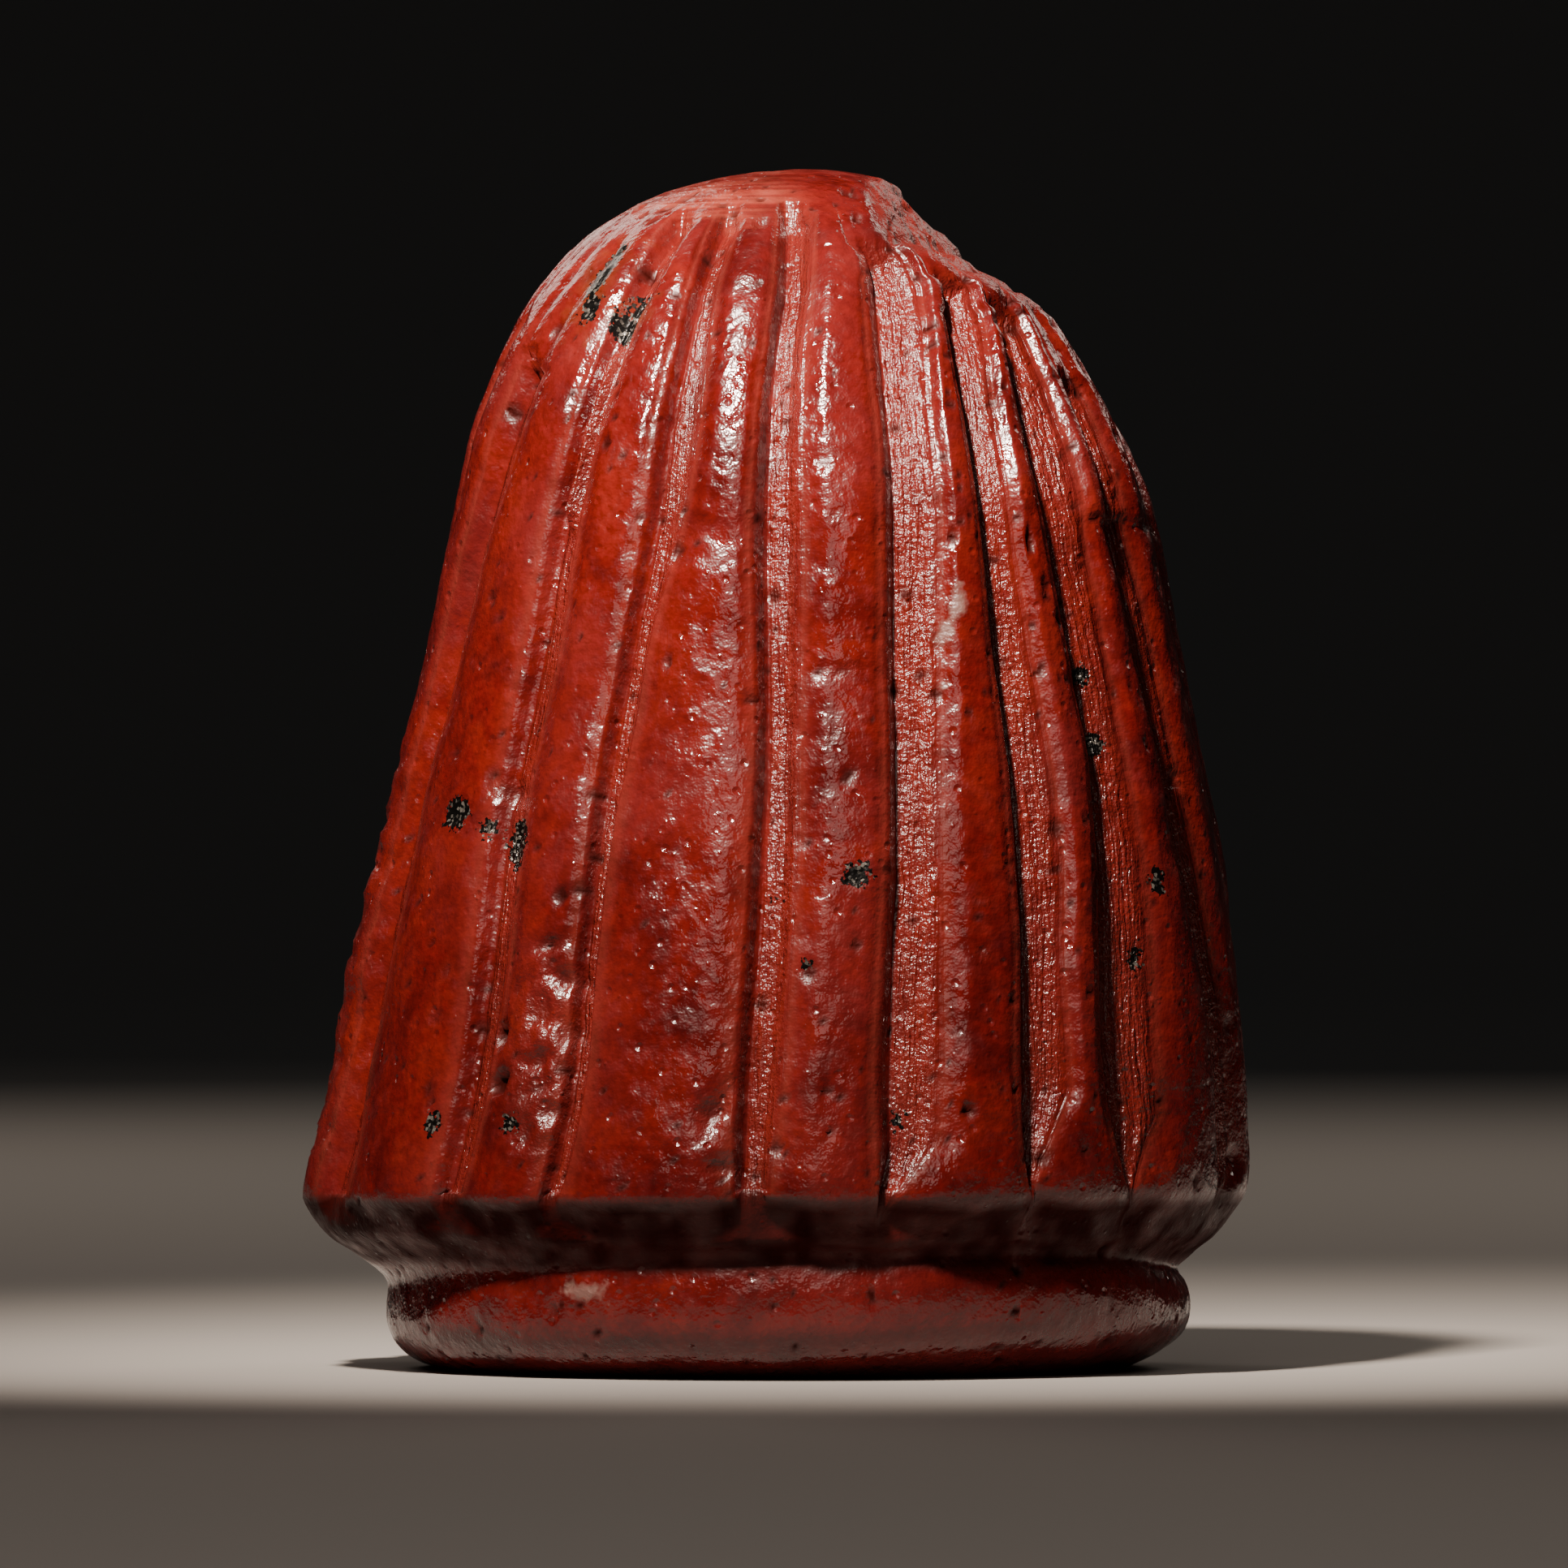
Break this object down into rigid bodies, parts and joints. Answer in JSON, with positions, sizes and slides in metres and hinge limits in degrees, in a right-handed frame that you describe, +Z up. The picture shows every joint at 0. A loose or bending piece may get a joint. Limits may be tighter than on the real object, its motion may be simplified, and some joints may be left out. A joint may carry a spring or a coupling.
{
  "type": "stamp seal",
  "caption": "Carved hardstone stamp seal: a tall grooved dome for the grip above a narrow waist and a low round base whose flat underside carries a plain cut device.",
  "frame": {"origin": "centre of the seal's bounding box in plan, at the flat seal face that it stands on", "axes": "+Z up from the seal face to the crown, -Y towards the pictured side, +X to its right"},
  "size_m": [0.0174, 0.0174, 0.022],
  "materials": {
    "red_jasper": "satin"
  },
  "bodies": {
    "root": {"seal": "red_jasper"}
  },
  "joints": []
}
